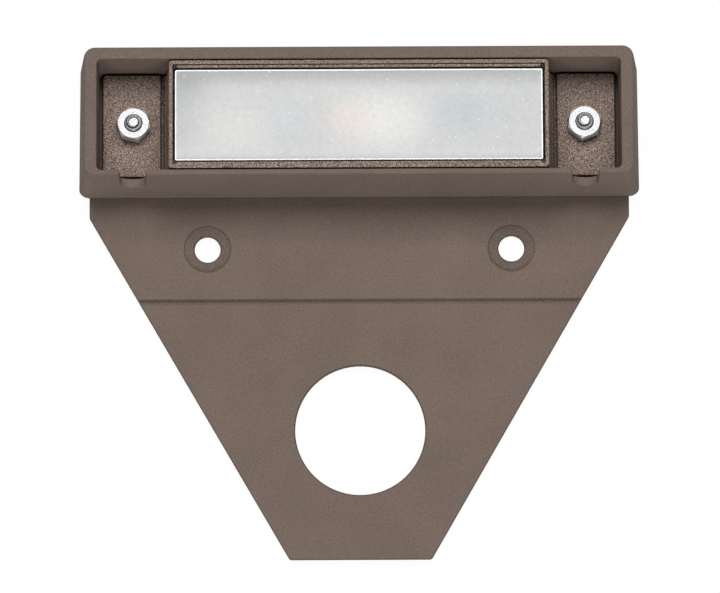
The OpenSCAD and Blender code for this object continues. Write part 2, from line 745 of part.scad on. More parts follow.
mounting_plate();
head_housing();
plate_screws();
module_base();
bezel_frame();
lens();
lens_gasket();
reflector();
led_board();
led_emitters();
rectifier();
driver_chip();
power_inductor();
capacitors();
resistors();
lead_terminals();
thermal_pad();
board_screws();
potting_plug();
floor_seal();
lead_gland();
clamp_studs();
clamp_nuts();
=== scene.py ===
# Looks of the hardscape light: finishes, softened castings, threads, studio and camera.
# Lengths are in millimetres until mm() turns them to metres. The frame is the part's own:
# it lies on its back, +Z is the way the lens faces and +Y runs to the head.

import json
import math

import bmesh
import bpy
from mathutils import Matrix, Vector


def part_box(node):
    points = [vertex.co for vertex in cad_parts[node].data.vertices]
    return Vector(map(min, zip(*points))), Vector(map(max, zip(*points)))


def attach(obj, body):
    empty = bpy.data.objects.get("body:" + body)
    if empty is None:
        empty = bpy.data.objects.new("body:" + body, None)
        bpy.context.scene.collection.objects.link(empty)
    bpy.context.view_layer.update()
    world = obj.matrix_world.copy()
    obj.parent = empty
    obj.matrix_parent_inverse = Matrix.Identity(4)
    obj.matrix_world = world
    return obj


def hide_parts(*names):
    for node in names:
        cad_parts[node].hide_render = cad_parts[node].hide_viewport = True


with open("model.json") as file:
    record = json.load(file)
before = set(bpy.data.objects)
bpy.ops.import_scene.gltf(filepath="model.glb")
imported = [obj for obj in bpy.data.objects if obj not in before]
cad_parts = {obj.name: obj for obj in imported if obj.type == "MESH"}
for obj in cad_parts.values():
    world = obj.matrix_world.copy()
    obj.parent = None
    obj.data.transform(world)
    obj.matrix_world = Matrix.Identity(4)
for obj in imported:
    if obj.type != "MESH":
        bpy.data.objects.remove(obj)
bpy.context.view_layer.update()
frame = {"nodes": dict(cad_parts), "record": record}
nodes = frame["nodes"]

# The solids' sizes and places that the shapes below follow. The head's own frame has x along the
# lens, v across it and h out of it, all in millimetres.
LEAN = math.radians(8)          # the head leans this far towards +Y
HEAD_OUT = Vector((0, math.sin(LEAN), math.cos(LEAN)))
HEAD_UP = Vector((0, math.cos(LEAN), -math.sin(LEAN)))
HEAD_FOOT_Y = 13.09             # foot of the head's own frame
GROOVE_DROP = 12.8              # from the screw line to the score groove
FACING = 0.98                   # a face this square to HEAD_OUT is a front or a back
WELD = 0.001                    # points closer than this are one point
screw_holes = next(mount for mount in frame["record"]["mounts"] if mount["name"] == "screw_holes")
SCREW_X = screw_holes["dims"]["spacing_x_mm"] / 2


def mm(value):
    return value / 1000.0


def linear(hex_colour):
    """An sRGB hex colour as the linear colour that a shader takes."""
    channels = [int(hex_colour[i:i + 2], 16) / 255 for i in (1, 3, 5)]
    curve = [c / 12.92 if c <= 0.04045 else ((c + 0.055) / 1.055) ** 2.4 for c in channels]
    return (*curve, 1.0)


def socket_of(sockets, name):
    """The socket with that number or identifier, or else the first with that name."""
    if isinstance(name, int):
        return sockets[name]
    for socket in sockets:
        if socket.identifier == name:
            return socket
    return sockets[name]


def add(tree, kind, inputs=None, stops=None, **settings):
    """Adds a node with its settings, sets or links each input, and gives a colour ramp its
    stops, each of them a position and a hex colour."""
    made = tree.nodes.new(kind)
    for name, value in settings.items():
        setattr(made, name, value)
    for name, value in (inputs or {}).items():
        socket = socket_of(made.inputs, name)
        if isinstance(value, bpy.types.NodeSocket):
            tree.links.new(value, socket)
        else:
            socket.default_value = value
    if stops:
        band = made.color_ramp.elements
        for end, (position, colour) in zip(band, (stops[0], stops[-1])):
            end.position, end.color = position, linear(colour)
        for position, colour in stops[1:-1]:
            band.new(position).color = linear(colour)
    return made


def new_material(name, **sockets):
    """A material with a Principled shader whose own sockets hold its constants."""
    made = bpy.data.materials.new(name)
    made.use_nodes = True
    tree = made.node_tree
    tree.nodes.clear()
    shader = add(tree, "ShaderNodeBsdfPrincipled")
    for socket, value in sockets.items():
        shader.inputs[socket.replace("_", " ")].default_value = value
    add(tree, "ShaderNodeOutputMaterial", {"Surface": shader.outputs["BSDF"]})
    place = add(tree, "ShaderNodeTexCoord").outputs["Object"]
    return made, tree, shader, place


def lumps_and_colour(tree, place, size, stops, detail=3.0, roughness=0.55):
    """A surface's lumps, about size millimetres across, and the colour that follows them: its
    first stop lies between the lumps and its last on top of them."""
    noise = add(tree, "ShaderNodeTexNoise", {"Vector": place, "Scale": 1 / mm(size),
                                             "Detail": detail, "Roughness": roughness})
    colour = add(tree, "ShaderNodeValToRGB", {"Fac": noise.outputs["Fac"]}, stops=stops)
    return noise.outputs["Fac"], colour.outputs["Color"]


def painted_corner_shade(tree, colour, dark, reach, depth=0.75):
    """The colour, darker where other surfaces stand within reach millimetres: painted shade in
    corners and creases, where little light gets in."""
    # painted shade: ambient occlusion mixes the colour towards dark
    near = add(tree, "ShaderNodeAmbientOcclusion", {"Distance": mm(reach)}, samples=8)
    share = add(tree, "ShaderNodeMapRange", {"Value": near.outputs["AO"], "From Min": 0.4,
                                             "From Max": 0.68, "To Min": depth, "To Max": 0.0})
    mixed = add(tree, "ShaderNodeMix", {"Factor_Float": share.outputs["Result"],
                                        "A_Color": colour, "B_Color": linear(dark)},
                data_type="RGBA")
    return socket_of(mixed.outputs, "Result_Color")


def powder_coat(name, light, mid, dark, lump, height, rough, reach, depth):
    """Textured polyester powder on cast aluminium: it flows into small lumps as it cures. The
    eye sees fine light and dark specks and broad, soft highlights along the edges. The real
    lumps are finer than a pixel of the photograph, and are drawn as coarse as they need to show.
    Lump and height are their width and height, and corners get painted shade, as deep as depth,
    within reach."""
    duller, shinier = 0.08, 0.06           # roughness between the lumps and on them, from the mean
    made, tree, shader, place = new_material(
        name, Metallic=0.0, IOR=1.5, Specular_IOR_Level=0.03)
    lumps, specks = lumps_and_colour(tree, place, lump, [(0.37, dark), (0.5, mid), (0.63, light)],
                                     4.0, 0.6)
    _, drift = lumps_and_colour(tree, place, 14.0, [(0.3, "#f4f4f4"), (0.7, "#ffffff")], 2.0, 0.5)
    colour = add(tree, "ShaderNodeMix", {"Factor_Float": 1.0, "A_Color": specks, "B_Color": drift},
                 data_type="RGBA", blend_type="MULTIPLY")
    sheen = add(tree, "ShaderNodeMapRange", {"Value": lumps, "From Min": 0.3, "From Max": 0.7,
                                             "To Min": rough + duller, "To Max": rough - shinier})
    bump = add(tree, "ShaderNodeBump", {"Height": lumps, "Strength": 1.0, "Distance": mm(height)})
    # painted shade in corners and creases, towards a dark brown
    shaded = painted_corner_shade(tree, socket_of(colour.outputs, "Result_Color"), "#1d1815", reach, depth)
    tree.links.new(shaded, shader.inputs["Base Color"])
    tree.links.new(sheen.outputs["Result"], shader.inputs["Roughness"])
    tree.links.new(bump.outputs["Normal"], shader.inputs["Normal"])
    return made


def fine_powder_coat():
    """The plate's and the head's coat: low lumps in close tones, so it looks nearly plain."""
    return powder_coat("fine_bronze_powder_coat", "#88796e", "#7f7067", "#76675f",
                       lump=0.35, height=0.02, rough=0.62, reach=0.8, depth=0.55)


def shaded_ring_powder_coat():
    """The fine coat on the faced rings round the screw holes, a shade darker: painted shade on the
    sunk ring floors.
    """
    return powder_coat("shaded_ring_bronze_powder_coat", "#82736a", "#75675e", "#6a5d55",
                       lump=0.35, height=0.03, rough=0.58, reach=0.8, depth=0.55)


def edge_shade_powder_coat():
    """The fine coat, darker, on edges and in the groove: painted shade on steep walls, in holes and
    on the groove wall turned from the light.
    """
    return powder_coat("edge_shaded_bronze_powder_coat", "#766960", "#695c53", "#5b4f47",
                       lump=0.35, height=0.03, rough=0.58, reach=0.8, depth=0.55)


def coarse_powder_coat():
    """The module's coat: its lumps stand five times as high as the fine coat's, in tones from pale
    to dark brown, and its corners carry the deepest painted shade."""
    return powder_coat("coarse_bronze_powder_coat", "#cbb9ad", "#917e73", "#544942",
                       lump=0.29, height=0.1, rough=0.52, reach=1.7, depth=0.85)


def head_point(x, v, h):
    """A place in the head's own frame, in the part's frame, in metres."""
    y = HEAD_FOOT_Y + v * math.cos(LEAN) + h * math.sin(LEAN)
    z = -v * math.sin(LEAN) + h * math.cos(LEAN)
    return Vector((mm(x), mm(y), mm(z)))


def in_head(place):
    """A place of the part's frame, in metres, as x, v and h of the head's own frame."""
    from_foot = place - head_point(0, 0, 0)
    return Vector((from_foot.x, from_foot.dot(HEAD_UP), from_foot.dot(HEAD_OUT))) * 1000


def spot(tree, place, centre, radius):
    """1 at centre, falling smoothly to 0 at radius millimetres along X, Y."""
    moved = add(tree, "ShaderNodeMapping", {"Vector": place, "Location": [-c for c in centre]},
                vector_type="POINT")
    scaled = add(tree, "ShaderNodeVectorMath", {0: moved.outputs["Vector"],
                                                1: (1 / mm(radius[0]), 1 / mm(radius[1]), 0)},
                 operation="MULTIPLY")
    length = add(tree, "ShaderNodeVectorMath", {0: scaled.outputs["Vector"]}, operation="LENGTH")
    return add(tree, "ShaderNodeMapRange", {"Value": length.outputs["Value"], "From Min": 1.0,
                                            "From Max": 0.0, "To Min": 0.0, "To Max": 1.0},
               interpolation_type="SMOOTHERSTEP").outputs["Result"]


def frosted_lens():
    """Acid-etched soda-lime glass over a white reflector: the etch spreads what lies behind it, so
    the emitters show only as soft warm and cool clouds, with tiny bright etch specks. Painted shade
    darkens its left end, its far edge by the head and its top-left corner, and painted light
    brightens its foot. The etch's own grain is far finer, and is drawn as coarse as it needs to
    show."""
    made, tree, shader, place = new_material(
        "etched_glass", Roughness=0.42, IOR=1.5, Coat_Weight=0.0)
    _, colour = lumps_and_colour(tree, place, 26.0, [(0.35, "#d3d5d4"), (0.65, "#d9dad9")],
                                 2.0, 0.5)
    # Each cloud: its label, its middle (x, v), its reach along and across, its tint and weight
    clouds = [("bright_right", (6.0, 13.5), (17, 12), "#f2f1ef", 0.9),
              ("warm_middle", (-2.0, 14.3), (9, 8), "#f2e6dd", 0.8),
              ("bright_left", (-29.5, 11.0), (16, 11), "#e9e8e5", 0.65),
              ("cool_left", (-17.0, 13.9), (9, 8), "#d6dbde", 0.6),
              ("cool_right", (25.5, 15.5), (13, 9), "#c6cfd4", 0.8),
              # Painted light and shade: shade at the left end, light along the foot, shade along
              # the far edge by the head and in the top-left corner
              ("left_shade", (-45.0, 14.5), (12, 16), "#bfc1c1", 0.6),
              ("foot_painted_light", (0.0, 3.0), (300, 6), "#e9e9e8", 0.5),
              ("head_shade", (0.0, 26.5), (300, 6), "#adafaf", 0.85),
              ("corner_shade", (-43.0, 25.0), (13, 11), "#a9abab", 0.8)]
    _, _, (_, rim_h) = head_reach("head_housing")
    for label, (x, v), radius, tint, weight in clouds:
        near = spot(tree, place, head_point(x, v, rim_h), radius)
        share = add(tree, "ShaderNodeMath", {0: near, 1: weight}, operation="MULTIPLY")
        mixed = add(tree, "ShaderNodeMix", {"Factor_Float": share.outputs[0], "A_Color": colour,
                                            "B_Color": linear(tint)}, data_type="RGBA",
                    label=label)
        colour = socket_of(mixed.outputs, "Result_Color")
    _, mottle = lumps_and_colour(tree, place, 1.1, [(0.35, "#f3f3f3"), (0.65, "#fdfdfd")],
                                 3.0, 0.6)
    mottled = add(tree, "ShaderNodeMix", {"Factor_Float": 1.0, "A_Color": colour,
                                          "B_Color": mottle}, data_type="RGBA",
                  blend_type="MULTIPLY")
    colour = socket_of(mottled.outputs, "Result_Color")
    etch = add(tree, "ShaderNodeTexVoronoi", {"Vector": place, "Scale": 1 / mm(2.2),
                                              "Randomness": 1.0})
    speck = add(tree, "ShaderNodeMapRange", {"Value": etch.outputs["Distance"], "From Min": 0.13,
                                             "From Max": 0.06, "To Min": 0.0, "To Max": 0.55})
    specked = add(tree, "ShaderNodeMix", {"Factor_Float": speck.outputs["Result"],
                                          "A_Color": colour, "B_Color": linear("#ffffff")},
                  data_type="RGBA")
    tree.links.new(socket_of(specked.outputs, "Result_Color"), shader.inputs["Base Color"])
    skin = add(tree, "ShaderNodeTexNoise", {"Vector": place, "Scale": 1 / mm(0.4), "Detail": 3.0,
                                            "Roughness": 0.55})
    bump = add(tree, "ShaderNodeBump", {"Height": skin.outputs["Fac"], "Strength": 0.3,
                                        "Distance": mm(0.02)})
    tree.links.new(bump.outputs["Normal"], shader.inputs["Normal"])
    return made


def polished_glass_edge_painted_glow():
    """The lens's bevelled edge is polished, and has a painted glow: it emits faintly, as if lit by
    the light that runs in the glass.
    """
    made, tree, shader, place = new_material(
        "polished_glass_edge_painted_glow", Roughness=0.12, IOR=1.5, Coat_Weight=0.6)
    _, colour = lumps_and_colour(tree, place, 1.6, [(0.3, "#dfe4e6"), (0.7, "#ffffff")])
    tree.links.new(colour, shader.inputs["Base Color"])
    # painted glow: the edge emits its own colour, though it is no lamp
    tree.links.new(colour, shader.inputs["Emission Color"])
    shader.inputs["Emission Strength"].default_value = 0.1
    return made


def zinc_plate(name, dark, light, metal, smooth, rough, reach):
    """Bright zinc on cold-formed steel: near-white, with faint tool marks that catch the light.
    The real marks are finer, and are drawn as coarse as they need to show."""
    made, tree, shader, place = new_material(name, Metallic=metal)
    marks, colour = lumps_and_colour(tree, place, 0.35, [(0.35, dark), (0.65, light)], 3.0, 0.6)
    bump = add(tree, "ShaderNodeBump", {"Height": marks, "Strength": 0.4, "Distance": mm(0.01)})
    sheen = add(tree, "ShaderNodeMapRange", {"Value": marks, "From Min": 0.3, "From Max": 0.7,
                                             "To Min": rough, "To Max": smooth})
    # painted shade in the corners, towards near-black
    shaded = painted_corner_shade(tree, colour, "#151617", reach, 0.9)
    tree.links.new(shaded, shader.inputs["Base Color"])
    tree.links.new(sheen.outputs["Result"], shader.inputs["Roughness"])
    tree.links.new(bump.outputs["Normal"], shader.inputs["Normal"])
    return made


def moulded(name, dark, light, rough, size, height, **sockets):
    """A moulded, cast or printed surface: two close tones, and a fine skin whose lumps are size
    wide and height high."""
    made, tree, shader, place = new_material(name, Roughness=rough, **sockets)
    skin, colour = lumps_and_colour(tree, place, size, [(0.3, dark), (0.7, light)])
    bump = add(tree, "ShaderNodeBump", {"Height": skin, "Strength": 0.6, "Distance": mm(height)})
    tree.links.new(colour, shader.inputs["Base Color"])
    tree.links.new(bump.outputs["Normal"], shader.inputs["Normal"])
    return made


def dress(piece, *materials):
    piece.data.materials.clear()
    for material in materials:
        piece.data.materials.append(material)


def head_reach(node):
    """Lowest and highest x, v and h of a CAD node in the head's own frame, in millimetres."""
    spots = [in_head(vertex.co) for vertex in nodes[node].data.vertices]
    return [(min(spot[i] for spot in spots), max(spot[i] for spot in spots)) for i in range(3)]


def clean_copy(node):
    """A merged copy of a CAD node's mesh, with its flat faces joined into quads, as a bmesh."""
    mesh = bmesh.new()
    mesh.from_mesh(nodes[node].data)
    bmesh.ops.remove_doubles(mesh, verts=mesh.verts, dist=mm(WELD))
    bmesh.ops.dissolve_limit(mesh, angle_limit=math.radians(0.6), verts=mesh.verts,
                             edges=mesh.edges, use_dissolve_boundaries=False)
    bmesh.ops.triangulate(mesh, faces=[face for face in mesh.faces if len(face.verts) > 4])
    bmesh.ops.join_triangles(mesh, faces=mesh.faces[:], angle_face_threshold=math.radians(1),
                             angle_shape_threshold=math.radians(180))
    return mesh


def new_piece(name, mesh, *materials):
    """A bmesh as a new object of the scene."""
    data = bpy.data.meshes.new(name)
    for material in materials:
        data.materials.append(material)
    mesh.to_mesh(data)
    mesh.free()
    piece = bpy.data.objects.new(name, data)
    bpy.context.scene.collection.objects.link(piece)
    return piece


def applied(piece):
    """The piece with its modifiers turned into a plain mesh."""
    bpy.context.view_layer.update()
    ready = piece.evaluated_get(bpy.context.evaluated_depsgraph_get())
    final = bpy.data.meshes.new_from_object(ready)
    piece.modifiers.clear()
    piece.data = final
    return piece


def soft_casting(node, name, width, material, fit):
    """A copy of a casting, changed by fit, with its sharp edges and inner corners rounded to
    about width millimetres, as powder coat leaves them."""
    rounded_from = math.radians(32)        # an edge that turns by less stays as it is
    mesh = clean_copy(node)
    fit(mesh)
    sharp = [edge for edge in mesh.edges if edge.is_manifold
             and edge.calc_face_angle() > rounded_from]
    bmesh.ops.bevel(mesh, geom=sharp, offset=mm(width), offset_type="OFFSET", segments=3,
                    profile=0.5, affect="EDGES", clamp_overlap=False, loop_slide=False,
                    miter_outer="SHARP", miter_inner="SHARP")
    for face in mesh.faces:
        face.smooth = True
    piece = new_piece(name, mesh, material)
    weigh = piece.modifiers.new("weigh", "WEIGHTED_NORMAL")
    weigh.weight = 80
    weigh.keep_sharp = False
    return applied(piece)


def longer_taper(mesh):
    """Moves the plate's shoulders 3.9 mm towards the head and tightens their corners to 1 mm, as
    the photograph has them, and widens the tip by 1.1 mm. The groove's ends go along."""
    corner_r, new_corner_r = 3, 1          # the shoulders' corners
    corner_y, new_corner_y = 4.6, 7.96     # the centres of those corners
    taper_y, tip_y = 3.77, -75             # where the solid's sloping edge begins and ends
    slope = 0.6186                         # how far that edge comes in per millimetre
    taper_out, tip_out = -2.29, 0.55       # how far its two ends move out
    tip_x, tip_corner = 14, 1.4            # the tip's corners lie beyond and below these
    edge_y, edge_reach = 2, 1.2            # the sloping edge and the groove's ends lie within
    edge_w, room = 0.5, 0.1                # breadth of the plate's edge, and a little room
    half_w = max(vertex.co.x for vertex in mesh.verts) * 1000
    for vertex in mesh.verts:
        x, y = abs(vertex.co.x) * 1000, vertex.co.y * 1000
        side = math.copysign(1, vertex.co.x)
        from_centre = Vector((x - (half_w - corner_r), y - corner_y))
        edge_x = half_w - slope * (taper_y - y)
        if corner_r - edge_w < from_centre.length < corner_r + room and y < corner_y + room:
            from_centre *= 1 - (corner_r - new_corner_r) / from_centre.length
            x, y = half_w - new_corner_r + from_centre.x, new_corner_y + from_centre.y
        elif y < tip_y + tip_corner and x > tip_x:
            x += tip_out
        elif y < edge_y and abs(x - edge_x) < edge_reach:
            x += (tip_out - taper_out) * (taper_y - y) / (taper_y - tip_y) + taper_out
        vertex.co.x, vertex.co.y = side * mm(x), mm(y)


def level_foot(mesh):
    """Draws the head's foot back beside the plate, level with its joint to the plate, as the
    photograph has it: most at the near edge, and less further up. A cut at the plate's top
    keeps the wall above it flat."""
    beside_x, end_y = 64, 14.9             # the foot's corners lie beyond and below these
    foot_z = 0.1                           # and below this height
    draw, reach = 0.83, 3                  # how far the near edge moves, and where that ends
    _, plate_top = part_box("mounting_plate")
    bmesh.ops.bisect_plane(mesh, geom=mesh.verts[:] + mesh.edges[:] + mesh.faces[:],
                           dist=mm(WELD), plane_co=(0, 0, plate_top.z), plane_no=(0, 0, 1))
    for vertex in mesh.verts:
        x, y, z = (abs(vertex.co.x) * 1000, vertex.co.y * 1000, vertex.co.z * 1000)
        if x > beside_x and y < end_y and z < foot_z:
            vertex.co.y = mm(y + draw * (end_y - y) / reach)


def longer_ears(mesh):
    """Brings the ears' near edges 0.4 mm closer to the notches, as the photograph has them."""
    near_v = 3.8                           # the ears' near edges lie below this
    draw = 0.4                             # how far they move
    ear_x, top_x, top_h = 47, 46.4, 7      # the ears begin here, and at their top a bit further in
    for vertex in mesh.verts:
        x, v, h = in_head(vertex.co)
        if v < near_v and (abs(x) > ear_x or abs(x) > top_x and h > top_h):
            vertex.co -= HEAD_UP * mm(draw)


def faced_plate():
    """The plate's casting, with painted shade on the sunk rings round its screw holes, and darker
    painted shade on its edges, in its holes and on the groove's wall that turns from the head and
    from the key light."""
    groove_w, groove_depth = 0.8, 0.7      # half the groove's width, and its depth, with room
    ring_in, ring_out = 4.5, 5.8           # the wall round a ring lies between these radii
    ring_r, ring_depth = 5.7, 1.2          # the ring's floor lies within these
    skin = 0.05                            # and it lies lower than this
    steep = 0.75                           # a wall's normal rises less than this
    turned_away = -0.3                     # and lies below this along Y on that groove wall
    piece = soft_casting("mounting_plate", "plate_casting", 0.14, fine, longer_taper)
    dress(piece, fine, shaded_ring_coat, edge_shade_coat)
    top = max(vertex.co.z for vertex in piece.data.vertices)
    for face in piece.data.polygons:
        from_screw = math.hypot(abs(face.center.x) - mm(SCREW_X), face.center.y)
        depth = top - face.center.z
        from_groove = abs(face.center.y + mm(GROOVE_DROP))
        if depth < mm(groove_depth) and from_groove < mm(groove_w):
            # painted shade on the groove wall that turns from the head, away from the key light
            face.material_index = 2 if face.normal.y < turned_away else 0
        elif abs(face.normal.z) < steep and not mm(ring_in) < from_screw < mm(ring_out):
            # painted shade on the plate's steep edges and hole walls
            face.material_index = 2
        elif from_screw < mm(ring_r) and mm(skin) < depth < mm(ring_depth):
            # painted shade on the floors of the sunk rings
            face.material_index = 1
    return piece


def polished_lens():
    """The lens with its matt faces, its polished rim, which has a painted glow, and, in a third
    material, the clear bevel and edge, through which the black gasket shows as a dark joint all
    round."""
    joint_w, rim_w = mm(0.05), mm(0.27)
    mesh = clean_copy("lens")
    front = [face for face in mesh.faces if face.normal.dot(HEAD_OUT) > FACING]
    joint = bmesh.ops.inset_region(mesh, faces=front, thickness=joint_w, use_even_offset=True)
    rim = bmesh.ops.inset_region(mesh, faces=front, thickness=rim_w, use_even_offset=True)
    for face in mesh.faces:
        face.material_index = 0 if abs(face.normal.dot(HEAD_OUT)) > FACING else 2
    for face in joint["faces"]:
        face.material_index = 2
    for face in rim["faces"]:
        face.material_index = 1
    return new_piece("polished_lens", mesh, etched, polished, rubber)


def swept_bezel(material):
    """The bezel as one profile swept round its four bars: a rounded outer edge, a flat face, and
    on the far bar a small step down to a lip. The step closes up on the short bars, and the
    gasket shows dark where the lips stop short of the corners."""
    (low_x, high_x), (low_v, high_v), (low_h, top_h) = head_reach("bezel_frame")
    # Each row: inset on the short and on the long bars, height, and radius at the corners
    profile = [(0, 0, low_h, 0.8), (0, 0, top_h - 0.2, 0.8), (0.04, 0.04, top_h - 0.08, 0.78),
               (0.12, 0.12, top_h - 0.02, 0.74), (0.24, 0.24, top_h, 0.7),
               (0.72, 0.86, top_h, 0.5), (0.8, 0.93, top_h - 0.03, 0.45),
               (0.84, 0.98, top_h - 0.5, 0.4), (0.86, 1.14, top_h - 0.52, 0.6),
               (0.88, 1.2, top_h - 0.26, 1.0), (0.9, 1.46, top_h - 0.28, 1.1),
               (0.97, 1.66, top_h - 0.38, 1.1), (1.0, 1.71, top_h - 0.5, 1.1),
               (1.0, 1.71, low_h, 1.1)]
    corner = 8                             # steps round each corner
    step_x, lip_x = 0.75, 0.92             # the step lies between these insets
    step_row = 5                           # and below this row of the profile
    closed_h = top_h - 0.12                # where the step is closed up to
    crease = math.radians(40)              # an edge that turns by more stays sharp
    mesh = bmesh.new()
    loops = []
    for in_x, in_v, h, radius in profile:
        left, right = low_x + in_x + radius, high_x - in_x - radius
        near, far = low_v + in_v + radius, high_v - in_v - radius
        loop = []
        for middle_x, middle_v, start in ((right, far, 0), (left, far, 90), (left, near, 180),
                                          (right, near, 270)):
            closes = step_x < in_x <= lip_x and middle_v != far
            place_h = max(h, closed_h) if closes else h
            for i in range(corner + 1):
                turn = math.radians(start + 90 * i / corner)
                loop.append(mesh.verts.new(head_point(middle_x + radius * math.cos(turn),
                                                      middle_v + radius * math.sin(turn),
                                                      place_h)))
        loops.append(loop)
    count = len(loops[0])
    for row, outer in enumerate(loops):
        inner = loops[(row + 1) % len(loops)]
        for i in range(count):
            j = (i + 1) % count
            face = mesh.faces.new((outer[i], outer[j], inner[j], inner[i]))
            face.material_index = 1 if row > step_row and i % (corner + 1) < corner else 0
    bmesh.ops.recalc_face_normals(mesh, faces=mesh.faces)
    for face in mesh.faces:
        face.smooth = True
    for edge in mesh.edges:
        edge.smooth = edge.calc_face_angle() < crease
    return new_piece("swept_bezel", mesh, material, rubber)


def plated_nuts():
    """The nuts with bright faces and, in a second material, smoother chamfers, flats and bores.
    Their outer sides stand a bit further out than the solids', as the photograph has them."""
    bore_room = 0.6                        # the bore and its chamfer lie this close to the stud
    further_out = 0.2
    mesh = clean_copy("clamp_nuts")
    (_, high_x), (low_v, high_v), (low_h, _) = head_reach("clamp_studs")
    radius = (high_v - low_v) / 2
    for vertex in mesh.verts:
        axis = head_point(math.copysign(high_x - radius, vertex.co.x), (low_v + high_v) / 2, low_h)
        away = vertex.co - axis
        away -= HEAD_OUT * away.dot(HEAD_OUT)
        if away.length > mm(radius + bore_room):
            vertex.co += away.normalized() * mm(further_out)
    for face in mesh.faces:
        face.material_index = 0 if abs(face.normal.dot(HEAD_OUT)) > FACING else 1
    return new_piece("plated_nuts", mesh, zinc, side_zinc)


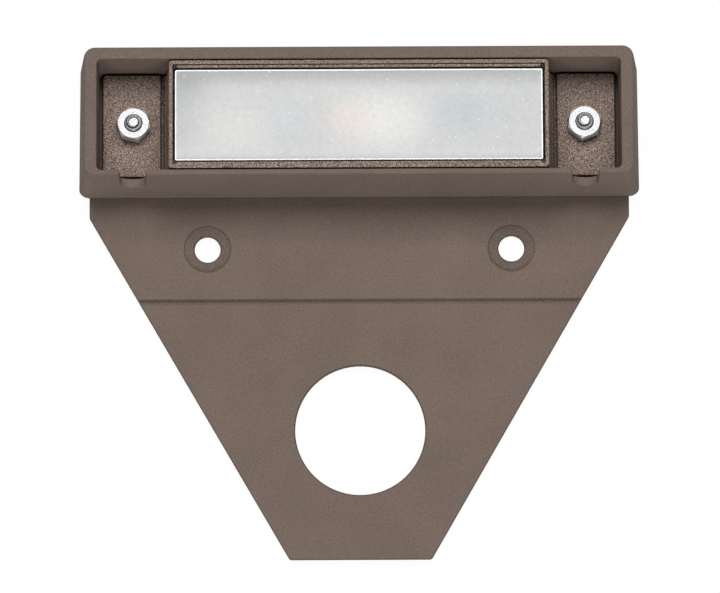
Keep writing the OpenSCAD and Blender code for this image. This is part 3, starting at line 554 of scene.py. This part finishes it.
def thread_tree(material, root_material):
    """Geometry Nodes: a rod whose side is pressed into a screw thread, with a chamfered end and a
    root in painted shade, stood up wherever a stud stands."""
    rows_per_turn = 12.0
    crest_end, root_start = 0.06, 0.44     # shares of the pitch where the thread's flank lies
    root_share = 0.45                      # deeper than this share of the thread is its root
    end_room = 0.02                        # this close to the end face there is no root
    tree = bpy.data.node_groups.new("rolled_thread", "GeometryNodeTree")
    for name, kind in (("Radius", "NodeSocketFloat"), ("Length", "NodeSocketFloat"),
                       ("Pitch", "NodeSocketFloat"), ("Thread Depth", "NodeSocketFloat"),
                       ("End Chamfer", "NodeSocketFloat"), ("Spacing", "NodeSocketFloat"),
                       ("Foot", "NodeSocketVector"), ("Lean", "NodeSocketFloat")):
        tree.interface.new_socket(name, in_out="INPUT", socket_type=kind)
    tree.interface.new_socket("Geometry", in_out="OUTPUT", socket_type="NodeSocketGeometry")
    given = add(tree, "NodeGroupInput").outputs
    rows = add(tree, "ShaderNodeMath", {0: given["Length"], 1: given["Pitch"]}, operation="DIVIDE")
    rows = add(tree, "ShaderNodeMath", {0: rows.outputs[0], 1: rows_per_turn},
               operation="MULTIPLY")
    rod = add(tree, "GeometryNodeMeshCylinder",
              {"Vertices": 48, "Side Segments": rows.outputs[0], "Radius": given["Radius"],
               "Depth": given["Length"]}, fill_type="NGON")
    place = add(tree, "GeometryNodeInputPosition").outputs["Position"]
    axis = add(tree, "ShaderNodeSeparateXYZ", {"Vector": place}).outputs
    angle = add(tree, "ShaderNodeMath", {0: axis["Y"], 1: axis["X"]}, operation="ARCTAN2")
    turn = add(tree, "ShaderNodeMath", {0: angle.outputs[0], 1: 2 * math.pi}, operation="DIVIDE")
    climb = add(tree, "ShaderNodeMath", {0: axis["Z"], 1: given["Pitch"]}, operation="DIVIDE")
    phase = add(tree, "ShaderNodeMath", {0: climb.outputs[0], 1: turn.outputs[0]},
                operation="SUBTRACT")
    wave = add(tree, "ShaderNodeMath", {0: phase.outputs[0], 1: 0.5}, operation="PINGPONG")
    groove = add(tree, "ShaderNodeMapRange", {"Value": wave.outputs[0], "From Min": crest_end,
                                              "From Max": root_start, "To Min": 0.0,
                                              "To Max": given["Thread Depth"]})
    top = add(tree, "ShaderNodeMath", {0: given["Length"], 1: 0.5}, operation="MULTIPLY")
    below = add(tree, "ShaderNodeMath", {0: top.outputs[0], 1: axis["Z"]}, operation="SUBTRACT")
    end_radius = add(tree, "ShaderNodeMath", {0: given["Radius"], 1: given["End Chamfer"]},
                     operation="SUBTRACT")
    cone = add(tree, "ShaderNodeMath", {0: end_radius.outputs[0], 1: below.outputs[0]},
               operation="ADD")
    round_end = add(tree, "ShaderNodeMath", {0: given["Radius"], 1: cone.outputs[0]},
                    operation="MINIMUM")
    radius = add(tree, "ShaderNodeMath", {0: round_end.outputs[0], 1: groove.outputs["Result"]},
                 operation="SUBTRACT")
    share = add(tree, "ShaderNodeMath", {0: radius.outputs[0], 1: given["Radius"]},
                operation="DIVIDE")
    pull = add(tree, "ShaderNodeCombineXYZ", {"X": share.outputs[0], "Y": share.outputs[0],
                                              "Z": 1.0})
    cut = add(tree, "ShaderNodeVectorMath", {0: place, 1: pull.outputs[0]}, operation="MULTIPLY")
    rolled = add(tree, "GeometryNodeSetPosition", {"Geometry": rod.outputs["Mesh"],
                                                   "Position": cut.outputs[0]})
    root_depth = add(tree, "ShaderNodeMath", {0: given["Thread Depth"], 1: root_share},
                     operation="MULTIPLY")
    deep = add(tree, "ShaderNodeMath", {0: groove.outputs["Result"], 1: root_depth.outputs[0]},
               operation="GREATER_THAN")
    side = add(tree, "ShaderNodeMath", {0: below.outputs[0], 1: mm(end_room)},
               operation="GREATER_THAN")
    root = add(tree, "ShaderNodeMath", {0: deep.outputs[0], 1: side.outputs[0]},
               operation="MULTIPLY")
    marked = add(tree, "GeometryNodeStoreNamedAttribute",
                 {"Geometry": rolled.outputs["Geometry"], "Name": "thread_root",
                  "Value": root.outputs[0]}, data_type="FLOAT", domain="FACE")
    lift = add(tree, "ShaderNodeCombineXYZ", {"Z": top.outputs[0]})
    stood = add(tree, "GeometryNodeTransform", {"Geometry": marked.outputs["Geometry"],
                                                "Translation": lift.outputs[0]})
    step = add(tree, "ShaderNodeCombineXYZ", {"X": given["Spacing"]})
    start = add(tree, "ShaderNodeVectorMath", {0: step.outputs[0], 1: (-0.5, 0, 0)},
                operation="MULTIPLY")
    feet = add(tree, "GeometryNodeMeshLine", {"Count": 2, "Start Location": start.outputs[0],
                                              "Offset": step.outputs[0]}, mode="OFFSET")
    pair = add(tree, "GeometryNodeInstanceOnPoints", {"Points": feet.outputs["Mesh"],
                                                      "Instance": stood.outputs["Geometry"]})
    tilt = add(tree, "ShaderNodeCombineXYZ", {"X": given["Lean"]})
    placed = add(tree, "GeometryNodeTransform", {"Geometry": pair.outputs["Instances"],
                                                 "Translation": given["Foot"],
                                                 "Rotation": tilt.outputs[0]})
    real = add(tree, "GeometryNodeRealizeInstances", {"Geometry": placed.outputs["Geometry"]})
    bright = add(tree, "GeometryNodeSetMaterial", {"Geometry": real.outputs["Geometry"],
                                                   "Material": material})
    roots = add(tree, "GeometryNodeInputNamedAttribute", {"Name": "thread_root"},
                data_type="FLOAT")
    dressed = add(tree, "GeometryNodeSetMaterial", {"Geometry": bright.outputs["Geometry"],
                                                    "Selection": roots.outputs["Attribute"],
                                                    "Material": root_material})
    add(tree, "NodeGroupOutput", {"Geometry": dressed.outputs["Geometry"]})
    return tree


def threaded_studs(material, root_material):
    """The two clamp studs with a rolled M4 thread, from the CAD studs' own reach."""
    (low_x, high_x), (low_v, high_v), (low_h, high_h) = head_reach("clamp_studs")
    radius = (high_v - low_v) / 2
    pitch = 0.7                            # of an M4 thread
    sizes = {"Radius": mm(radius), "Length": mm(high_h - low_h), "Pitch": mm(pitch),
             "Thread Depth": mm(0.35), "End Chamfer": mm(0.8),
             "Spacing": mm(high_x - low_x - 2 * radius),
             "Foot": head_point(0, (low_v + high_v) / 2, low_h), "Lean": -LEAN}
    piece = new_piece("threaded_studs", bmesh.new(), material, root_material)
    maker = piece.modifiers.new("thread", "NODES")
    maker.node_group = thread_tree(material, root_material)
    for item in maker.node_group.interface.items_tree:
        if item.name in sizes:
            maker[item.identifier] = sizes[item.name]
    return applied(piece)


fine = fine_powder_coat()
shaded_ring_coat = shaded_ring_powder_coat()
edge_shade_coat = edge_shade_powder_coat()
coarse = coarse_powder_coat()
etched = frosted_lens()
polished = polished_glass_edge_painted_glow()
# Nuts' and screws' faces: nearly white, and too rough to mirror anything
zinc = zinc_plate("bright_zinc_plate", "#bfc1c2", "#e2e3e4",
                  metal=0.4, smooth=0.4, rough=0.55, reach=0.4)
# Nuts' sides: forming leaves them smooth, so they mirror the dark recess around them
side_zinc = zinc_plate("cold_formed_zinc_side", "#b6b9bb", "#eceef0",
                       metal=0.5, smooth=0.24, rough=0.42, reach=0.7)
# Thread crests: rolling polishes them to thin light lines
thread_zinc = zinc_plate("rolled_thread_zinc", "#a9abad", "#e6e8e9",
                         metal=0.25, smooth=0.3, rough=0.48, reach=0.1)
# Thread roots: painted shade, so they show as dark lines
root_shade_zinc = zinc_plate("thread_root_shade_zinc", "#303234", "#636567",
                       metal=0.3, smooth=0.4, rough=0.55, reach=0.12)
# Moulded silicone: black, matt and faintly pebbled
rubber = moulded("silicone_rubber", "#1b1b1c", "#262627", rough=0.62, size=0.8, height=0.03)
# Polycarbonate from a polished mould: white, with a soft shine and slow waves
white_plastic = moulded("white_polycarbonate", "#eeeeea", "#f8f8f5",
                        rough=0.35, size=4.0, height=0.01)
# Printed solder mask: off-white and satin, so that the board throws light back
solder_mask = moulded("white_solder_mask", "#e6e6e1", "#f0f0ec",
                      rough=0.4, size=1.2, height=0.01)
# Phosphor cast in silicone: the yellow of an emitter that is off
emitter_case = moulded("emitter_package", "#dfae52", "#ecc272",
                       rough=0.4, size=0.4, height=0.02)
# Transfer-moulded epoxy: black with a grey bloom, as on any chip
epoxy_black = moulded("black_moulded_epoxy", "#17181a", "#242527",
                      rough=0.5, size=0.3, height=0.01)
# Pressed and sintered ferrite: dark grey and gritty
ferrite = moulded("pressed_ferrite", "#2c2c2e", "#3a3a3c", rough=0.6, size=0.3, height=0.02)
# Fired barium titanate: tan, with a fine grain
ceramic = moulded("fired_ceramic", "#a98a5c", "#bf9f70", rough=0.45, size=0.4, height=0.01)
# Dipped tin on copper: a pale metal, a little uneven
tinned = moulded("tinned_terminal", "#bdb9b0", "#dcd9d2",
                 rough=0.32, size=0.5, height=0.01, Metallic=1.0)
# Rolled sheet of filled silicone: grey-blue and quite matt
gap_pad = moulded("silicone_gap_pad", "#8f9dad", "#a2afbd", rough=0.7, size=0.9, height=0.03)
# Poured epoxy: black and shiny, with the slow waves of a skin that set by itself
resin = moulded("cast_epoxy_resin", "#222222", "#2e2e2e", rough=0.25, size=6.0, height=0.02)

finishes = {"plate_screws": zinc, "lens_gasket": rubber, "reflector": white_plastic,
            "led_board": solder_mask, "led_emitters": emitter_case, "rectifier": epoxy_black,
            "driver_chip": epoxy_black, "power_inductor": ferrite, "capacitors": ceramic,
            "resistors": epoxy_black, "lead_terminals": tinned, "thermal_pad": gap_pad,
            "board_screws": zinc, "potting_plug": resin, "floor_seal": rubber,
            "lead_gland": rubber, "clamp_studs": zinc, "clamp_nuts": zinc, "lens": etched,
            "mounting_plate": fine, "head_housing": fine, "module_base": coarse,
            "bezel_frame": coarse}
for node, material in finishes.items():
    dress(nodes[node], material)

pieces = [(faced_plate(), "mounting_plate", "cast_powder"),
          (soft_casting("head_housing", "head_casting", 0.3, fine, level_foot),
           "head_housing", "cast_powder"),
          (soft_casting("module_base", "module_casting", 0.25, coarse, longer_ears),
           "module_base", "module_powder"),
          (swept_bezel(coarse), "bezel_frame", "module_powder"),
          (polished_lens(), "lens", "lens_glass"),
          (plated_nuts(), "clamp_nuts", "nut_zinc"),
          (threaded_studs(thread_zinc, root_shade_zinc), "clamp_studs", "zinc_steel")]
for piece, node, slot in pieces:
    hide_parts(node)
    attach(piece, "root")


# Studio: a pale floor, one large soft box beyond the head and a weak one from the plate's end
def plane(name, half, z):
    """A level square, twice half metres wide."""
    data = bpy.data.meshes.new(name)
    data.from_pydata([(-half, -half, z), (half, -half, z), (half, half, z), (-half, half, z)],
                     [], [(0, 1, 2, 3)])
    piece = bpy.data.objects.new(name, data)
    bpy.context.scene.collection.objects.link(piece)
    return piece


def paper():
    """White studio paper: matt, and as white as the photograph's ground to the camera."""
    glow_share = 0.93                      # the rest is matt, and keeps the object's shadow
    made = bpy.data.materials.new("white_studio_paper")
    made.use_nodes = True
    tree = made.node_tree
    tree.nodes.clear()
    ray = add(tree, "ShaderNodeLightPath")
    seen = add(tree, "ShaderNodeMath", {0: ray.outputs["Is Camera Ray"],
                                        1: ray.outputs["Is Glossy Ray"]}, operation="MAXIMUM")
    seen = add(tree, "ShaderNodeMath", {0: seen.outputs[0],
                                        1: ray.outputs["Is Transmission Ray"]},
               operation="MAXIMUM")
    matt = add(tree, "ShaderNodeBsdfDiffuse", {"Color": linear("#e9e9e8")})
    bright = add(tree, "ShaderNodeBsdfDiffuse", {"Color": linear("#ffffff")})
    glow = add(tree, "ShaderNodeEmission", {"Color": linear("#ffffff"), "Strength": 1.02})
    white = add(tree, "ShaderNodeMixShader", {0: glow_share, 1: bright.outputs[0],
                                              2: glow.outputs[0]})
    both = add(tree, "ShaderNodeMixShader", {0: seen.outputs[0], 1: matt.outputs[0],
                                             2: white.outputs[0]})
    add(tree, "ShaderNodeOutputMaterial", {"Surface": both.outputs[0]})
    return made


floor = plane("studio_floor", half=3.0, z=-mm(0.05))
dress(floor, paper())

target = Vector((mm(0.08), mm(-11.26), 0))     # what the camera and the lights look at


def soft_box(name, azimuth, elevation, distance, size, share):
    """A soft light that faces the object, azimuth degrees from +Y and elevation above the floor.
    Share is how much of a plain surface's own colour it brings back from the floor."""
    light = bpy.data.lights.new(name, "AREA")
    light.shape = "RECTANGLE"
    light.size, light.size_y = size
    light.energy = share * (math.pi * distance) ** 2 / math.sin(math.radians(elevation))
    lamp = bpy.data.objects.new(name, light)
    bpy.context.scene.collection.objects.link(lamp)
    a, e = math.radians(azimuth), math.radians(elevation)
    lamp.location = target + distance * Vector((-math.sin(a) * math.cos(e),
                                                math.cos(a) * math.cos(e), math.sin(e)))
    lamp.rotation_euler = (lamp.location - target).to_track_quat("Z", "Y").to_euler()


soft_box("key_box", azimuth=0, elevation=58, distance=1.0, size=(0.9, 0.45), share=0.66)
soft_box("front_box", azimuth=180, elevation=31.5, distance=1.0, size=(0.9, 0.3), share=0.28)

world = bpy.data.worlds.new("studio_air")
bpy.context.scene.world = world
world.use_nodes = True
air = world.node_tree
air.nodes.clear()
sky = add(air, "ShaderNodeBackground", {"Color": linear("#ffffff"), "Strength": 0.1})
add(air, "ShaderNodeOutputWorld", {"Surface": sky.outputs[0]})

# Camera: a long lens nearly square to the plate, a little below the middle
camera_data = bpy.data.cameras.new("studio_camera")
camera = bpy.data.objects.new("studio_camera", camera_data)
bpy.context.scene.collection.objects.link(camera)
distance, tilt, roll = 2.5, math.radians(7.6), math.radians(0.25)
focal_pixels, photo_width = 10401, 720
camera_data.sensor_width = 36
camera_data.lens = camera_data.sensor_width * focal_pixels / photo_width
camera_data.clip_start, camera_data.clip_end = 0.05, 20
camera.location = target + distance * Vector((0, -math.sin(tilt), math.cos(tilt)))
camera.matrix_world = (Matrix.Translation(camera.location) @ Matrix.Rotation(tilt, 4, "X")
                       @ Matrix.Rotation(-roll, 4, "Z"))
bpy.context.scene.camera = camera
bpy.context.scene.view_settings.view_transform = "Standard"
